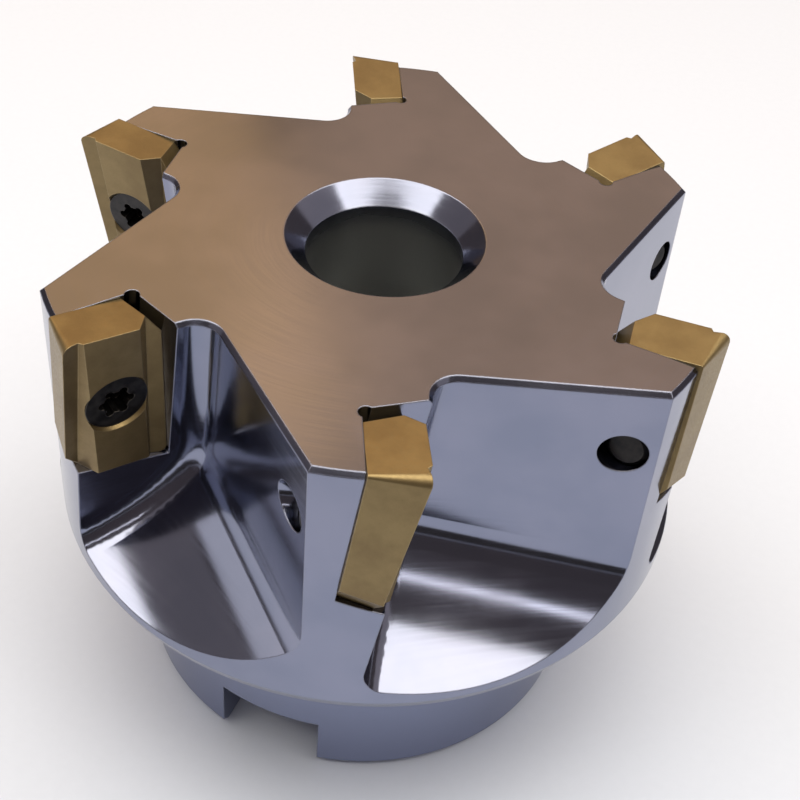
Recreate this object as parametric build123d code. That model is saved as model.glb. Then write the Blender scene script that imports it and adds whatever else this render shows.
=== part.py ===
"""Indexable face mill, 63 mm, six teeth, for a 22 mm shell mill arbor.

The frame's origin is the centre of the bore on the face that seats on the arbor. +Z is the cutter's axis
and points at the cutting face. The first tooth is on +X, and the drive slot runs along Y.
Sizes are in millimetres.
"""

from build123d import *
from math import cos, radians, sqrt, tan
import os

# the cutter as a whole
tooth_count = 6
cutting_diameter = 63.0
overall_height = 50.0
face_height = 49.3
head_diameter = 60.8
rim_height = 21.0
hub_diameter = 44.8
edge_break = 0.4
rim_break = 0.6
hub_chamfer = 0.9
shoulder_fillet = 4.0

# what it bolts to: bore, screw hole, counterbore and drive slot
bore_diameter = 22.0
bore_depth = 20.5
screw_hole_diameter = 9.0
counterbore_diameter = 14.2
counterbore_depth = 18.3
bore_chamfer = 1.0
counterbore_chamfer = 1.9
slot_width = 10.4
slot_depth = 6.3

# a gullet: the back wall of the tooth ahead, and a hollow floor that runs out at the head's rim
gullet_wall_distance = 18.66
gullet_wall_angle = -9.5
gullet_slope = 10.0
gullet_wall_depth = 17.2
gullet_floor_radius = 22.0
gullet_floor_offset = 18.3
gullet_root_radius = 5.0
gullet_corner_radius = 2.2
rake_wall_axial_angle = 9.0
rake_wall_radial_angle = -9.0
rake_wall_setback = 0.1
gullet_reach = 16.0
gullet_run = 60.0

# an insert: a parallelogram with 85 degree corners and 11 degrees of clearance
insert_width = 9.4
insert_edge_length = 16.6
insert_thickness = 4.76
insert_corner_angle = 85.0
insert_clearance = 11.0
insert_nose_radius = 0.8
insert_blunt_along_edge = 1.8
insert_blunt_along_end = 1.2
insert_edge_drop = 1.2
chip_groove_width = 1.5
chip_groove_depth = 0.35
chip_groove_rise = 1.3
insert_nose_shrink = 0.6
smallest_nose_radius = 0.2
insert_hole_diameter = 4.5
insert_sink_diameter = 6.2

# how an insert sits in its tooth
axial_rake = 7.0
radial_rake = -3.0
pocket_gap = 0.02
pocket_relief_diameter = 1.3
pocket_mouth = 1.0

# a clamping screw, M4 with a 60 degree head
thread_diameter = 3.9
thread_hole_diameter = 4.0
head_taper = 30.0
head_clearance = 0.07
head_recess = 0.3
screw_reach = 8.4
screw_tip_chamfer = 0.5
socket_depth = 1.7
socket_core_diameter = 2.45
socket_lobe_diameter = 0.8
socket_lobe_circle = 2.5
socket_lobe_count = 6

# how far a tool body runs past the steel that it cuts
overrun = 30.0

cutting_radius = cutting_diameter / 2
head_radius = head_diameter / 2
hub_radius = hub_diameter / 2
end_slope = tan(radians(90 - insert_corner_angle))
tooth_angles = [360 / tooth_count * i for i in range(tooth_count)]
insert_centre = (-insert_width / 2, (insert_edge_length + insert_width * end_slope) / 2)


def tooth_plane(radial_angle, axial_angle):
    """A plane through the cutting corner of the tooth on +X. X points outward, Y runs down the tooth, and Z
    points forward, the way the tooth cuts."""
    outward = Vector(1, 0, 0).rotate(Axis.Z, radial_angle)
    forward = Vector(0, 1, 0).rotate(Axis.Z, radial_angle)
    forward = forward.rotate(Axis((0, 0, 0), outward), -axial_angle)
    return Plane(origin=(cutting_radius, 0, overall_height), x_dir=outward, z_dir=forward)


def rake_plane():
    """The rake face of the insert on +X."""
    return tooth_plane(radial_rake, axial_rake)


def turned_blank():
    """The body as it leaves the lathe: hub, shoulder, head and the stepped hole through the middle."""
    shoulder_rise = head_radius - hub_radius
    counterbore_floor = face_height - counterbore_depth
    corners = [
        (bore_diameter / 2, 0),
        (hub_radius, 0),
        (hub_radius, rim_height - shoulder_rise),
        (head_radius, rim_height),
        (head_radius, face_height),
        (counterbore_diameter / 2, face_height),
        (counterbore_diameter / 2, counterbore_floor),
        (screw_hole_diameter / 2, counterbore_floor),
        (screw_hole_diameter / 2, bore_depth),
        (bore_diameter / 2, bore_depth),
    ]
    breaks = {0: bore_chamfer, 1: hub_chamfer, 3: rim_break, 5: counterbore_chamfer}
    section = make_face(Polyline(*corners, close=True))
    for number, size in breaks.items():
        corner = section.vertices().sort_by_distance((*corners[number], 0))[0]
        section = chamfer(corner, size)
    root = section.vertices().sort_by_distance((*corners[2], 0))[0]
    section = fillet(root, shoulder_fillet)
    return revolve(Plane.XZ * section, Axis.Z, 360)


def gullet_section():
    """The gullet's outline, seen along the groove: out from the back wall is X, and up is Y."""
    depth_below_centre = sqrt(gullet_floor_radius**2 - gullet_floor_offset**2)
    centre_height = -gullet_wall_depth + depth_below_centre
    end_height = centre_height - sqrt(gullet_floor_radius**2 - (gullet_floor_offset - gullet_reach) ** 2)
    root = (0, -gullet_wall_depth)
    end = (gullet_reach, end_height)
    middle_x = gullet_reach / 2
    middle_y = centre_height - sqrt(gullet_floor_radius**2 - (gullet_floor_offset - middle_x) ** 2)
    wall = Line((0, overrun), root)
    floor = ThreePointArc(root, (middle_x, middle_y), end)
    outside = Polyline(end, (gullet_reach, overrun), (0, overrun))
    section = make_face(wall + floor + outside)
    corner = section.vertices().sort_by_distance((*root, 0))[0]
    return fillet(corner, gullet_root_radius)


def gullet_tool():
    """What the mill takes out in front of the tooth on +X."""
    outward = Vector(1, 0, 0).rotate(Axis.Z, gullet_wall_angle)
    ahead = Vector(0, 1, 0).rotate(Axis.Z, gullet_wall_angle)
    along = ahead.rotate(Axis((0, 0, 0), outward), -gullet_slope)
    origin = outward * gullet_wall_distance + Vector(0, 0, overall_height)
    groove = Plane(origin=origin, x_dir=outward, z_dir=along * -1)
    prism = extrude(groove * gullet_section(), gullet_run, both=True)
    ahead_of_rake = Box(4 * overrun, 4 * overrun, 2 * overrun, align=(Align.CENTER, Align.CENTER, Align.MIN))
    wall_plane = tooth_plane(rake_wall_radial_angle, rake_wall_axial_angle)
    tool = prism & (wall_plane * Pos(0, 0, -rake_wall_setback) * ahead_of_rake)
    rake_wall = tool.faces().sort_by_distance(wall_plane.origin)[0]
    inside = [e for e in rake_wall.edges() if is_root_edge(groove.to_local_coords(e.center()))]
    return fillet(inside, gullet_corner_radius)


def is_root_edge(place):
    """Whether an edge of the rake wall, given by its middle in the groove's plane, meets the wall or floor."""
    return place.X < gullet_reach - 1 and place.Y < overrun / 2


def insert_outline(inset):
    """The insert's outline at the rake face, or lower down where its sides have come in by the inset."""
    left = -insert_width + inset
    right = -inset
    lean = inset / cos(radians(90 - insert_corner_angle))

    def top(x):
        return -x * end_slope + lean

    def bottom(x):
        return insert_edge_length - x * end_slope - lean

    along_end = insert_blunt_along_end
    along_edge = insert_blunt_along_edge
    corners = [
        (right, top(right)),
        (right, bottom(right) - along_edge),
        (right - along_end, bottom(right - along_end)),
        (left, bottom(left)),
        (left, top(left) + along_edge),
        (left + along_end, top(left + along_end)),
    ]
    outline = make_face(Polyline(*corners, close=True))
    noses = [outline.vertices().sort_by_distance((*corners[n], 0))[0] for n in (0, 3)]
    return fillet(noses, max(insert_nose_radius - inset * insert_nose_shrink, smallest_nose_radius))


def chip_groove():
    """The groove behind one long cutting edge. The edge falls away from the nose to the blunt corner."""
    section = Polyline(
        (chip_groove_width * 2, -chip_groove_depth),
        (0, 0),
        (-chip_groove_width, -chip_groove_depth),
        (-chip_groove_width - chip_groove_rise, chip_groove_rise),
        (chip_groove_width * 2, chip_groove_rise),
        close=True,
    )
    fall = Vector(0, insert_edge_length, -insert_edge_drop)
    across = Plane(origin=(0, 0, 0), x_dir=(1, 0, 0), z_dir=fall * -1)
    return extrude(across * make_face(section), overrun, both=True)


def insert_shape():
    """A carbide insert in the rake plane's own frame, with its rake face at Z 0."""
    inset = insert_thickness * tan(radians(insert_clearance))
    rake = insert_outline(0)
    seat = Pos(0, 0, -insert_thickness) * insert_outline(inset)
    body = loft([rake, seat], ruled=True)
    centre = Pos(*insert_centre)
    groove = chip_groove()
    body -= groove
    body -= centre * Rot(0, 0, 180) * centre.inverse() * groove
    sink_depth = (insert_sink_diameter - insert_hole_diameter) / 2 / tan(radians(head_taper))
    sink = Cone(
        insert_hole_diameter / 2,
        insert_sink_diameter / 2,
        sink_depth,
        align=(Align.CENTER, Align.CENTER, Align.MAX),
    )
    hole = Cylinder(insert_hole_diameter / 2, overrun)
    return body - centre * sink - centre * hole


def screw_shape():
    """A clamping screw in the rake plane's own frame."""
    slope = tan(radians(head_taper))
    shank_radius = thread_diameter / 2
    top_radius = insert_sink_diameter / 2 - head_recess * slope - head_clearance
    cone_height = (top_radius - shank_radius) / slope
    corners = [
        (0, -head_recess),
        (top_radius, -head_recess),
        (shank_radius, -head_recess - cone_height),
        (shank_radius, -screw_reach + screw_tip_chamfer),
        (shank_radius - screw_tip_chamfer, -screw_reach),
        (0, -screw_reach),
    ]
    section = make_face(Polyline(*corners, close=True))
    body = revolve(Plane.XZ * section, Axis.Z, 360)
    lobes = PolarLocations(socket_lobe_circle / 2, socket_lobe_count)
    star = Circle(socket_core_diameter / 2) + [spot * Circle(socket_lobe_diameter / 2) for spot in lobes]
    socket = extrude(star, -socket_depth)
    return Pos(*insert_centre) * (body - Pos(0, 0, -head_recess) * socket)


def pocket_tool():
    """What is milled and drilled out of a tooth for its insert, in the rake plane's own frame."""
    inset = insert_thickness * tan(radians(insert_clearance))
    floor = -insert_thickness - pocket_gap
    left = -insert_width + inset - pocket_gap
    far = overrun
    low = insert_edge_length - inset + pocket_gap

    def bottom(x, grow):
        return low - x * end_slope + grow

    def outline(grow):
        return make_face(
            Polyline(
                (left - grow, -far),
                (far, -far),
                (far, bottom(far, grow)),
                (left - grow, bottom(left - grow, grow)),
                close=True,
            )
        )

    open_grow = (pocket_mouth - floor) * tan(radians(insert_clearance))
    tool = loft([Pos(0, 0, floor) * outline(0), Pos(0, 0, pocket_mouth) * outline(open_grow)], ruled=True)
    relief = pocket_relief_diameter / 2
    corner = Vector(left + relief / 2, bottom(left, 0) - relief / 2, floor + relief / 2)
    tool += Pos(*corner) * Rot(90, 0, 0) * Cylinder(relief, far, align=(Align.CENTER, Align.CENTER, Align.MIN))
    centre = Pos(*insert_centre)
    tool += centre * Cylinder(thread_hole_diameter / 2, overrun)
    return tool


def cutter_body():
    """The steel body, with its gullets, insert pockets, tapped holes and drive slot."""
    body = turned_blank()
    gullet = gullet_tool()
    pocket = rake_plane() * pocket_tool()
    for angle in tooth_angles:
        body -= Rot(0, 0, angle) * gullet
    face = body.faces().sort_by(Axis.Z)[-1]
    body = chamfer(face.outer_wire().edges(), edge_break)
    for angle in tooth_angles:
        body -= Rot(0, 0, angle) * pocket
    slot = Box(slot_width, 2 * head_diameter, slot_depth, align=(Align.CENTER, Align.CENTER, Align.MIN))
    return body - slot


os.makedirs("parts", exist_ok=True)
export_step(cutter_body(), "parts/cutter_body.step")
insert = rake_plane() * insert_shape()
screw = rake_plane() * screw_shape()
for number, angle in enumerate(tooth_angles, start=1):
    export_step(Rot(0, 0, angle) * insert, f"parts/insert_{number}.step")
    export_step(Rot(0, 0, angle) * screw, f"parts/insert_screw_{number}.step")
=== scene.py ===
"""Looks for the face mill: plated steel, gold coated inserts and black screws, on a pale floor."""

from math import cos, pi, radians, sin

import bpy
from mathutils import Matrix, Vector


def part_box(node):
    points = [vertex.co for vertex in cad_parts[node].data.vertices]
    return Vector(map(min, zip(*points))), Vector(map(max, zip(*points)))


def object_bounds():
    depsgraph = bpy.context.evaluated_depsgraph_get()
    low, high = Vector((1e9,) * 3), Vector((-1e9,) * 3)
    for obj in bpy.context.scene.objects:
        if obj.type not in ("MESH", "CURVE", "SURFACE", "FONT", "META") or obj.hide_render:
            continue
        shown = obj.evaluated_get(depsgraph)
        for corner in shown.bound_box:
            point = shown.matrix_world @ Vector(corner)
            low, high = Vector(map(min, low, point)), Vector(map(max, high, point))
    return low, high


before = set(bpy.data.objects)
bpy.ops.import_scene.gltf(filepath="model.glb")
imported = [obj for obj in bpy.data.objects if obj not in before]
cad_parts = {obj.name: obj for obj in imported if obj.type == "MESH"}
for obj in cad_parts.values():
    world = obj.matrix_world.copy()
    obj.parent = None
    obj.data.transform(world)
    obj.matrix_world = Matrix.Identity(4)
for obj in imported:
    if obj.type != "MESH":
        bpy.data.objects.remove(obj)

cad_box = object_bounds()
tooth_count = 6

# the camera, in metres and in the part's own frame
camera_place = Vector((0.0372, -0.0974, 0.1235))
camera_target = Vector((0.0025, 0.0009, 0.0297))
camera_roll = radians(5.34)
camera_lens = 64.3
camera_sensor = 36.0
camera_near = 0.001

# the studio. Azimuths are in degrees from +X, and the lights face a point on the cutter's axis
camera_side = -69
far_side = camera_side + 180
lit_point = Vector((0, 0, 0.03))
floor_radius = 1.2
floor_corners = 96
floor_gap = 0.0002
# the black sheet that only shows in reflections, a painted dark reflection
reflection_sheet_start = 0.102
reflection_sheet_end = 0.45
reflection_sheet_width = 0.60

# where the cutter's surfaces change, for the materials
face_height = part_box("cutter_body")[1].z
counterbore_radius = 0.0071
counterbore_chamfer = 0.0019
# rim_height and hub_fade say where the painted light on the hub starts and how far it fades in
rim_height = 0.021
hub_fade = 0.006

# the tool marks, in noise steps per metre and per radian
ring_marks = 5200.0
round_marks = 4200.0
marks_around = 2.0


# nodes


def new_material(name):
    """A material with an empty node tree, and its tree."""
    material = bpy.data.materials.new(name)
    material.use_nodes = True
    material.node_tree.nodes.clear()
    return material, material.node_tree


def add(tree, kind, settings=None, **inputs):
    """A node with its settings and inputs. An input is called by its name, or by i and its number. One that
    is given as a socket is linked, and any other is a value."""
    node = tree.nodes.new(kind)
    for key, value in (settings or {}).items():
        setattr(node, key, value)
    for key, value in inputs.items():
        name = key.replace("_", " ")
        socket = node.inputs[int(key[1:])] if key[1:].isdigit() else node.inputs[name]
        if isinstance(value, bpy.types.NodeSocket):
            tree.links.new(value, socket)
        else:
            socket.default_value = value
    return node


def maths(tree, operation, first, second=0.0, third=0.0):
    """The result of a Math node."""
    return add(tree, "ShaderNodeMath", {"operation": operation}, i0=first, i1=second, i2=third).outputs[0]


def ramp(tree, value, low, high, to_low=0.0, to_high=1.0):
    """Value taken smoothly from low..high to to_low..to_high, and held at its ends."""
    settings = {"interpolation_type": "SMOOTHSTEP"}
    node = add(tree, "ShaderNodeMapRange", settings, i0=value, i1=low, i2=high, i3=to_low, i4=to_high)
    return node.outputs[0]


def blend_colours(tree, share, first, second):
    """The mix of two colours, by a share from 0 to 1."""
    node = tree.nodes.new("ShaderNodeMix")
    node.data_type = "RGBA"
    tree.links.new(share, node.inputs[0])
    for socket, colour in ((node.inputs[6], first), (node.inputs[7], second)):
        if isinstance(colour, bpy.types.NodeSocket):
            tree.links.new(colour, socket)
        else:
            socket.default_value = (*colour, 1.0)
    return node.outputs[2]


def noise(tree, vector, scale, detail, roughness=0.5):
    """Noise from 0 to 1, about 0.5."""
    node = add(tree, "ShaderNodeTexNoise", Vector=vector, Scale=scale, Detail=detail, Roughness=roughness)
    return node.outputs[0]


def object_place(tree):
    """The place on the part, in the object's own frame, so that the pattern rides with it."""
    return add(tree, "ShaderNodeTexCoord").outputs["Object"]


def split(tree, vector):
    """X, Y and Z of a vector."""
    return add(tree, "ShaderNodeSeparateXYZ", Vector=vector).outputs


def joined(tree, x, y, z):
    """A vector made of three sockets or values."""
    return add(tree, "ShaderNodeCombineXYZ", X=x, Y=y, Z=z).outputs[0]


def surface_normal(tree):
    """The mesh's own normal."""
    return add(tree, "ShaderNodeNewGeometry").outputs["Normal"]


def edge_share(tree, radius):
    """1 on the part's sharp edges and 0 away from them, with the rounded normal that goes with it."""
    rounded = add(tree, "ShaderNodeBevel", {"samples": 6}, Radius=radius).outputs[0]
    compared = add(
        tree,
        "ShaderNodeVectorMath",
        {"operation": "DOT_PRODUCT"},
        i0=rounded,
        i1=surface_normal(tree),
    )
    return ramp(tree, compared.outputs["Value"], low=0.995, high=0.86), rounded


def finish_material(tree, **inputs):
    """Ends a material's tree with a Principled shader that has these inputs."""
    shader = add(tree, "ShaderNodeBsdfPrincipled", **inputs)
    add(tree, "ShaderNodeOutputMaterial", Surface=shader.outputs[0])


# materials


def tool_marks(tree, radius, angle, z, on_face):
    """Fine marks of the tool: rings where the surface faces up, and lines round the axis elsewhere."""
    around = maths(tree, "MULTIPLY", angle, marks_around)
    ring_place = joined(tree, maths(tree, "MULTIPLY", radius, ring_marks), around, 0.0)
    round_place = joined(tree, around, 0.0, maths(tree, "MULTIPLY", z, round_marks))
    rings = noise(tree, ring_place, scale=1.0, detail=3.0)
    rounds = noise(tree, round_place, scale=1.0, detail=3.0)
    return add(tree, "ShaderNodeMix", i0=on_face, i2=rounds, i3=rings).outputs[0]


def counterbore_share(tree, radius, z):
    """1 near the axis and below the mouth's chamfer, where the counterbore and the screw hole are, else 0."""
    narrow = ramp(tree, radius, counterbore_radius + 0.0004, counterbore_radius - 0.0002)
    deep = ramp(tree, z, face_height - counterbore_chamfer * 0.6, face_height - counterbore_chamfer * 2.5)
    return maths(tree, "MULTIPLY", narrow, deep)


def body_steel():
    """Satin nickel plate over turned and milled steel, dull in the counterbore. Its colour is painted paler
    on the hub and in the counterbore: painted light that lifts the shade there.
    """
    material, tree = new_material("body_steel")
    place = object_place(tree)
    x, y, z = split(tree, place)
    across = joined(tree, x, y, 0.0)
    radius = add(tree, "ShaderNodeVectorMath", {"operation": "LENGTH"}, i0=across).outputs["Value"]
    angle = maths(tree, "ARCTAN2", y, x)
    edge, rounded = edge_share(tree, 0.00018)
    up = split(tree, surface_normal(tree))[2]
    on_face = ramp(tree, up, low=0.96, high=0.995)
    painted_hub_light_share = ramp(tree, z, rim_height, rim_height - hub_fade)
    inside = counterbore_share(tree, radius, z)
    marks = tool_marks(tree, radius, angle, z, on_face)
    clouds = noise(tree, place, scale=90.0, detail=3.0, roughness=0.6)
    specks = noise(tree, place, scale=2600.0, detail=4.0, roughness=0.7)

    pale = blend_colours(tree, ramp(tree, clouds, 0.3, 0.7), (0.21, 0.23, 0.315), (0.25, 0.265, 0.355))
    flecked = blend_colours(tree, ramp(tree, specks, 0.62, 0.75, 0.0, 0.3), pale, (0.17, 0.165, 0.19))
    # the counterbore is painted paler, a painted light that lifts the shade inside the hole; its dullness is
    # the real surface
    bore_painted_light = blend_colours(tree, inside, flecked, (0.42, 0.43, 0.42))
    # the hub is painted paler, a painted light that lifts the shade of the floor it mirrors
    hub_painted_light = blend_colours(tree, painted_hub_light_share, bore_painted_light, (0.26, 0.285, 0.40))
    worn = blend_colours(tree, maths(tree, "MULTIPLY", edge, 0.4), hub_painted_light, (0.30, 0.30, 0.36))

    milled = ramp(tree, clouds, 0.25, 0.75, 0.11, 0.17)
    turned = maths(tree, "MULTIPLY_ADD", on_face, 0.06, milled)
    streaked = maths(tree, "ADD", turned, ramp(tree, marks, 0.3, 0.7, -0.02, 0.02))
    dull = maths(tree, "MULTIPLY_ADD", inside, 0.35, streaked)
    roughness = maths(tree, "MULTIPLY_ADD", edge, 0.25, dull)
    bump = add(tree, "ShaderNodeBump", Strength=0.03, Distance=0.00004, Height=marks, Normal=rounded)
    finish_material(tree, Base_Color=worn, Metallic=1.0, Roughness=roughness, Normal=bump.outputs[0])
    return material


def insert_coating():
    """Gold titanium nitride over ground carbide."""
    material, tree = new_material("insert_coating")
    place = object_place(tree)
    edge, rounded = edge_share(tree, 0.00012)
    clouds = noise(tree, place, scale=260.0, detail=3.0, roughness=0.6)
    grain = noise(tree, place, scale=5200.0, detail=3.0, roughness=0.7)
    gold = blend_colours(tree, ramp(tree, clouds, 0.3, 0.7), (0.205, 0.147, 0.07), (0.26, 0.193, 0.092))
    flecked = blend_colours(tree, ramp(tree, grain, 0.62, 0.8, 0.0, 0.35), gold, (0.15, 0.105, 0.05))
    worn = blend_colours(tree, maths(tree, "MULTIPLY", edge, 0.5), flecked, (0.46, 0.37, 0.22))
    roughness = ramp(tree, grain, 0.3, 0.7, 0.32, 0.46)
    bump = add(tree, "ShaderNodeBump", Strength=0.12, Distance=0.00003, Height=grain, Normal=rounded)
    finish_material(tree, Base_Color=worn, Metallic=0.8, Roughness=roughness, Normal=bump.outputs[0])
    return material


def screw_black():
    """Black oxide on a steel screw, rubbed bright at its edges."""
    material, tree = new_material("screw_black")
    place = object_place(tree)
    edge, rounded = edge_share(tree, 0.00010)
    clouds = noise(tree, place, scale=900.0, detail=3.0, roughness=0.6)
    black = blend_colours(tree, ramp(tree, clouds, 0.3, 0.7), (0.018, 0.018, 0.02), (0.045, 0.042, 0.042))
    worn = blend_colours(tree, maths(tree, "MULTIPLY", edge, 0.45), black, (0.20, 0.18, 0.16))
    roughness = ramp(tree, clouds, 0.3, 0.7, 0.30, 0.45)
    bump = add(tree, "ShaderNodeBump", Strength=0.10, Distance=0.00002, Height=clouds, Normal=rounded)
    finish_material(tree, Base_Color=worn, Metallic=0.85, Roughness=roughness, Normal=bump.outputs[0])
    return material


def fibrous(name, first, second):
    """A matt material with a faint fibre, between two colours."""
    material, tree = new_material(name)
    fibre = noise(tree, object_place(tree), scale=900.0, detail=3.0, roughness=0.6)
    finish_material(tree, Base_Color=blend_colours(tree, fibre, first, second), Roughness=0.9)
    return material


def floor_paper():
    """Pale studio paper. It is a little blue, which the top light's warmth takes back."""
    return fibrous("floor_paper", (0.60, 0.65, 0.78), (0.63, 0.68, 0.81))


def reflection_dark_sheet():
    """A black sheet, a painted dark reflection for what the gullets mirror."""
    return fibrous("reflection_dark_sheet", (0.012, 0.010, 0.011), (0.03, 0.026, 0.028))


def dress(node_name, material):
    """Gives a CAD node its material."""
    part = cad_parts[node_name]
    part.data.materials.clear()
    part.data.materials.append(material)


# the studio


def lay_flat(name, outline, height, material):
    """A flat sheet of the studio, that isn't part of the cutter."""
    mesh = bpy.data.meshes.new(name)
    mesh.from_pydata([(x, y, 0.0) for x, y in outline], [], [range(len(outline))])
    mesh.materials.append(material)
    sheet = bpy.data.objects.new(name, mesh)
    sheet.location.z = cad_box[0].z + height
    bpy.context.scene.collection.objects.link(sheet)
    return sheet


def make_floor():
    """A round sheet of paper under the cutter."""
    turns = [2 * pi * n / floor_corners for n in range(floor_corners)]
    outline = [(floor_radius * cos(turn), floor_radius * sin(turn)) for turn in turns]
    lay_flat("floor", outline, -floor_gap, floor_paper())


def make_reflection_dark_sheet():
    """A black sheet on the floor, on the camera's side of the cutter. It only shows as a reflection: a
    painted dark reflection, hidden from the camera, from shadows and from diffuse light.
    """
    ahead = Vector((cos(radians(camera_side)), sin(radians(camera_side))))
    aside = Vector((-ahead.y, ahead.x)) * reflection_sheet_width / 2
    near = ahead * reflection_sheet_start
    far = ahead * reflection_sheet_end
    outline = [near - aside, far - aside, far + aside, near + aside]
    reflection_sheet = lay_flat("reflection_dark_sheet", [tuple(corner) for corner in outline], 0.0, reflection_dark_sheet())
    reflection_sheet.visible_camera = False
    reflection_sheet.visible_diffuse = False
    reflection_sheet.visible_shadow = False


def card(name, azimuth, elevation, distance, size, glow, colour):
    """A soft light that faces the cutter. Azimuth and elevation say where it stands, seen from the cutter.
    Size is its width and height, and glow is how bright it looks."""
    turn = radians(azimuth)
    rise = radians(elevation)
    way = Vector((cos(rise) * cos(turn), cos(rise) * sin(turn), sin(rise)))
    width, height = size
    light = bpy.data.lights.new(name, "AREA")
    light.shape = "RECTANGLE"
    light.size = width
    light.size_y = height
    light.color = colour
    light.energy = glow * pi * width * height
    lamp = bpy.data.objects.new(name, light)
    lamp.location = lit_point + way * distance
    lamp.rotation_euler = way.to_track_quat("Z", "Y").to_euler()
    lamp.visible_camera = False
    bpy.context.scene.collection.objects.link(lamp)


def make_world(colour, strength):
    """The even, dim light of the room."""
    world = bpy.data.worlds.new("studio")
    world.use_nodes = True
    background = world.node_tree.nodes["Background"]
    background.inputs["Color"].default_value = (*colour, 1.0)
    background.inputs["Strength"].default_value = strength
    bpy.context.scene.world = world


def make_camera():
    """The camera, from its place, its target and its roll."""
    back = (camera_place - camera_target).normalized()
    right = Vector((0, 0, 1)).cross(back).normalized()
    up = back.cross(right)
    turned_right = cos(camera_roll) * right + sin(camera_roll) * up
    turned_up = cos(camera_roll) * up - sin(camera_roll) * right
    lens = bpy.data.cameras.new("camera")
    lens.lens = camera_lens
    lens.sensor_width = camera_sensor
    lens.clip_start = camera_near
    camera = bpy.data.objects.new("camera", lens)
    turn = Matrix((turned_right, turned_up, back)).transposed()
    camera.matrix_world = Matrix.Translation(camera_place) @ turn.to_4x4()
    bpy.context.scene.collection.objects.link(camera)
    bpy.context.scene.camera = camera


dress("cutter_body", body_steel())
coating = insert_coating()
black = screw_black()
for number in range(1, tooth_count + 1):
    dress(f"insert_{number}", coating)
    dress(f"insert_screw_{number}", black)

make_floor()
make_reflection_dark_sheet()
make_world(colour=(0.84, 0.68, 0.64), strength=0.15)

# the white field, the thin line and the weak side light that the gullets mirror
card(
    "top_light",
    azimuth=camera_side,
    elevation=88,
    distance=0.55,
    size=(1.0, 0.63),
    glow=3.7,
    colour=(1.0, 0.94, 0.80),
)
card(
    "strip_light",
    azimuth=camera_side,
    elevation=39.0,
    distance=0.70,
    size=(0.80, 0.035),
    glow=4.2,
    colour=(1.0, 0.94, 0.86),
)
card(
    "side_panel",
    azimuth=camera_side - 85,
    elevation=10,
    distance=0.60,
    size=(0.30, 0.16),
    glow=1.1,
    colour=(1.0, 0.96, 0.92),
)

# dim panels, for the sides of the room
card(
    "room_left",
    azimuth=camera_side - 90,
    elevation=36,
    distance=0.75,
    size=(0.80, 0.42),
    glow=0.18,
    colour=(1.0, 0.90, 0.86),
)
card(
    "room_right",
    azimuth=camera_side + 90,
    elevation=36,
    distance=0.75,
    size=(0.80, 0.42),
    glow=0.36,
    colour=(1.0, 0.90, 0.86),
)

# warm panels across from the camera, which give the cutting face its brown
card(
    "warm_panel_left",
    azimuth=far_side + 31,
    elevation=38,
    distance=0.70,
    size=(0.52, 0.34),
    glow=1.2,
    colour=(1.0, 0.56, 0.19),
)
card(
    "warm_panel_right",
    azimuth=far_side - 19,
    elevation=38,
    distance=0.70,
    size=(0.52, 0.34),
    glow=0.76,
    colour=(1.0, 0.61, 0.31),
)

make_camera()
bpy.context.scene.view_settings.view_transform = "Standard"
